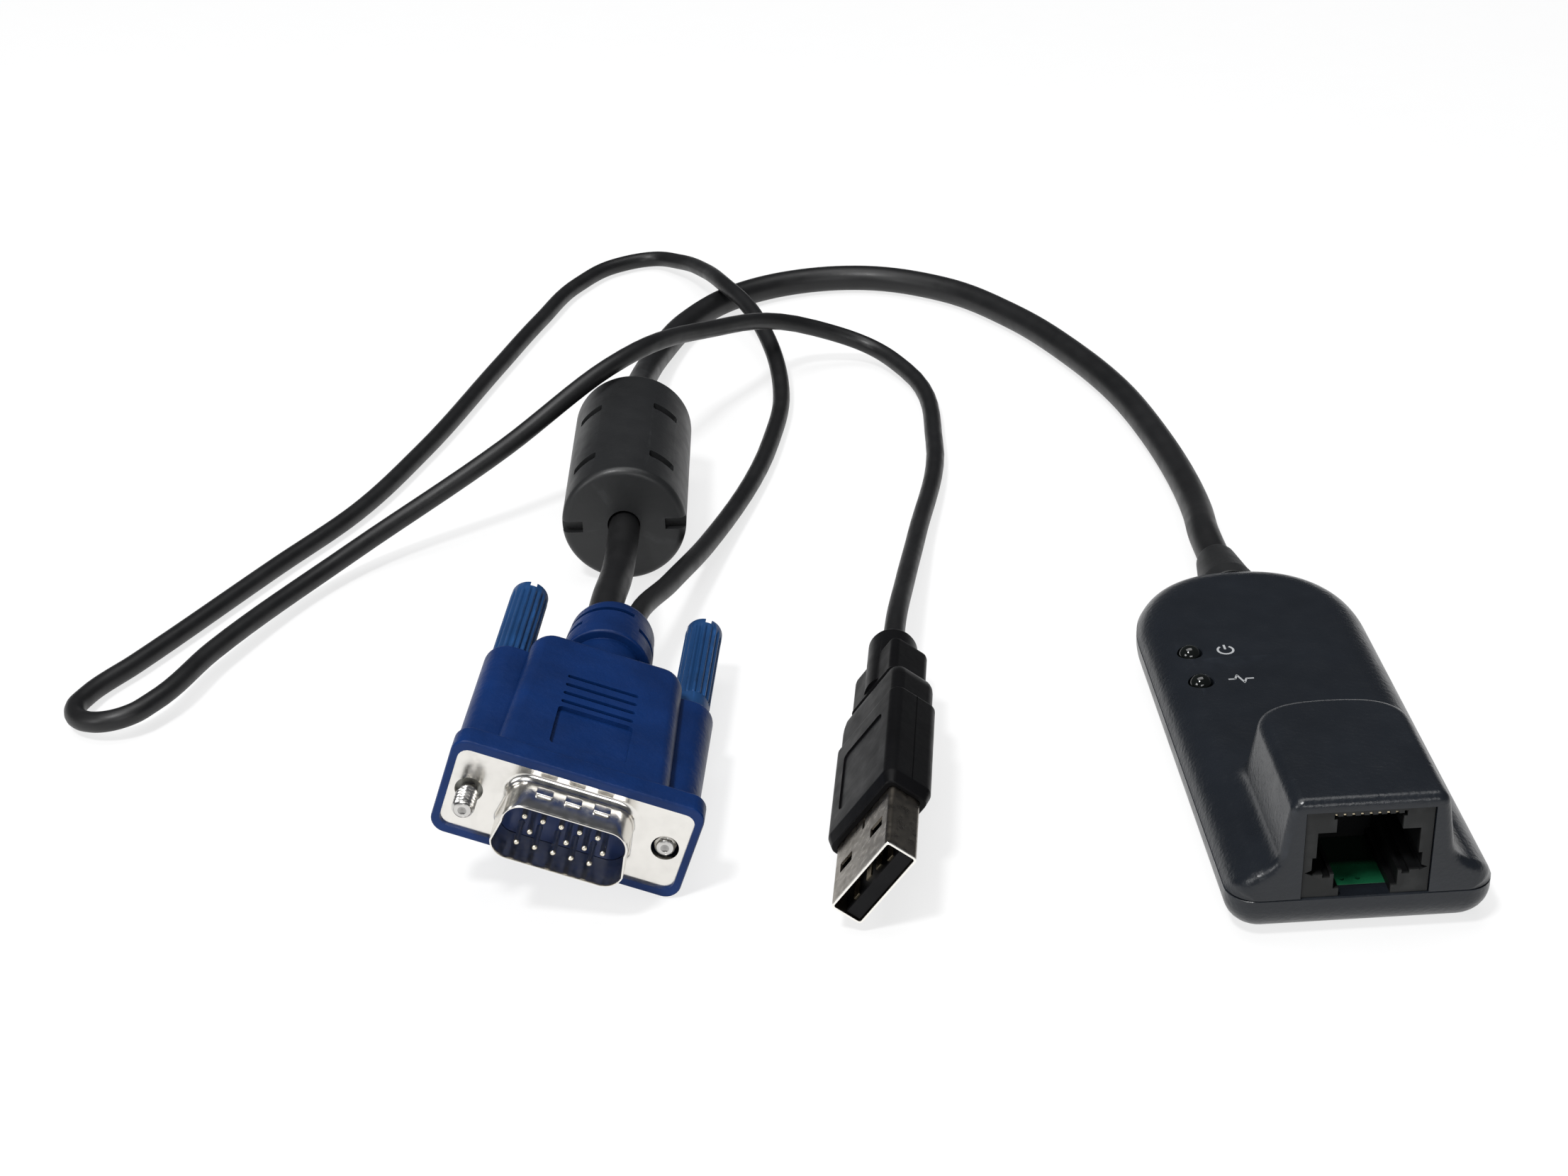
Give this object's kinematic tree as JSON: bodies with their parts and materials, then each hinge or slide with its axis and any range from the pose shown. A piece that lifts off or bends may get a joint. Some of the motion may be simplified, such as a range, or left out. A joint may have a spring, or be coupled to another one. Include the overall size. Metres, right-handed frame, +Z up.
{
  "type": "kvm server interface module",
  "caption": "Small dark dongle with a network socket and two lamps, a thick lead with a choke to a blue video plug with thumbscrews, and a thin lead to a flat USB plug",
  "frame": {"origin": "Centre of the underside of the housing, on the surface that the part lies on. The leads and what is on them are left out of this centre.", "axes": "+Z up. -Y is the way out of the network socket, +Y runs along the housing to its strain relief. +X is to the right for someone who looks at the socket; the leads and plugs lie on the -X side."},
  "size_m": [0.1831, 0.2338, 0.0229],
  "materials": {
    "housing_black": "fine spark-eroded grain, satin sheen, almost black with a cold tint",
    "screw_steel": "turned and zinc-plated steel",
    "board_green": "green solder mask over glass-fibre laminate",
    "chip_black": "moulded epoxy with plated legs",
    "can_steel": "drawn can, satin",
    "ceramic_tan": "fired ceramic with tinned ends",
    "header_ivory": "plain moulded nylon",
    "wire_red": "smooth insulation",
    "socket_grey": "glass-filled nylon, dull",
    "contact_gold": "gold-plated spring wire",
    "lamp_lens": "dark tinted lens, polished, unlit",
    "relief_black": "soft moulded, satin",
    "cable_black": "smooth matt jacket",
    "choke_black": "matt moulding with a light grain",
    "ferrite_grey": "sintered, dull grey",
    "hood_blue": "deep blue moulding, satin, light grain",
    "plug_nickel": "nickel plate, bright with fine drawing marks",
    "insulator_blue": "blue moulding, satin",
    "pin_gold": "pale gold plate",
    "collar_white": "plain nylon ring",
    "knob_blue": "greyer blue than the hood, fluted, satin",
    "grip_black": "soft moulding, semi-gloss",
    "shell_steel": "nickel-plated sheet, satin, with bright cut edges",
    "tongue_black": "plain black moulding"
  },
  "bodies": {
    "module": {"top_shell": "housing_black", "bottom_shell": "housing_black", "shell_screws": "screw_steel", "circuit_board": "board_green", "main_chip": "chip_black", "video_chip": "chip_black", "memory_chip": "chip_black", "crystal": "can_steel", "capacitors": "ceramic_tan", "cable_header": "header_ivory", "inner_wires": "wire_red", "jack_body": "socket_grey", "jack_contacts": "contact_gold", "power_led": "lamp_lens", "active_led": "lamp_lens", "strain_relief": "relief_black", "module_lead": "cable_black", "choke_cover": "choke_black", "ferrite_core": "ferrite_grey", "vga_hood": "hood_blue", "vga_shell": "plug_nickel", "vga_insulator": "insulator_blue", "vga_pins": "pin_gold", "usb_lead": "cable_black", "usb_grip": "grip_black", "usb_shell": "shell_steel", "usb_tongue": "tongue_black", "usb_contacts": "contact_gold"},
    "left_ring": {"left_screw_collar": "collar_white"},
    "left_thumbscrew": {"left_screw": "screw_steel", "left_knob": "knob_blue"},
    "right_ring": {"right_screw_collar": "collar_white"},
    "right_thumbscrew": {"right_screw": "screw_steel", "right_knob": "knob_blue"}
  },
  "joints": [
    {"name": "left_screw_slide", "type": "slide", "parent": "module", "child": "left_ring", "axis": [0.108, 0.9942, 0], "range_m": [0, 0.0045]},
    {"name": "left_screw_turn", "type": "hinge", "parent": "left_ring", "child": "left_thumbscrew", "pos_m": [-0.10588, -0.02053, 0.01572], "axis": [0.108, 0.9942, 0], "continuous": true},
    {"name": "right_screw_slide", "type": "slide", "parent": "module", "child": "right_ring", "axis": [0.108, 0.9942, 0], "range_m": [-0.0045, 0]},
    {"name": "right_screw_turn", "type": "hinge", "parent": "right_ring", "child": "right_thumbscrew", "pos_m": [-0.08252, -0.02307, 0.00721], "axis": [0.108, 0.9942, 0], "continuous": true}
  ]
}
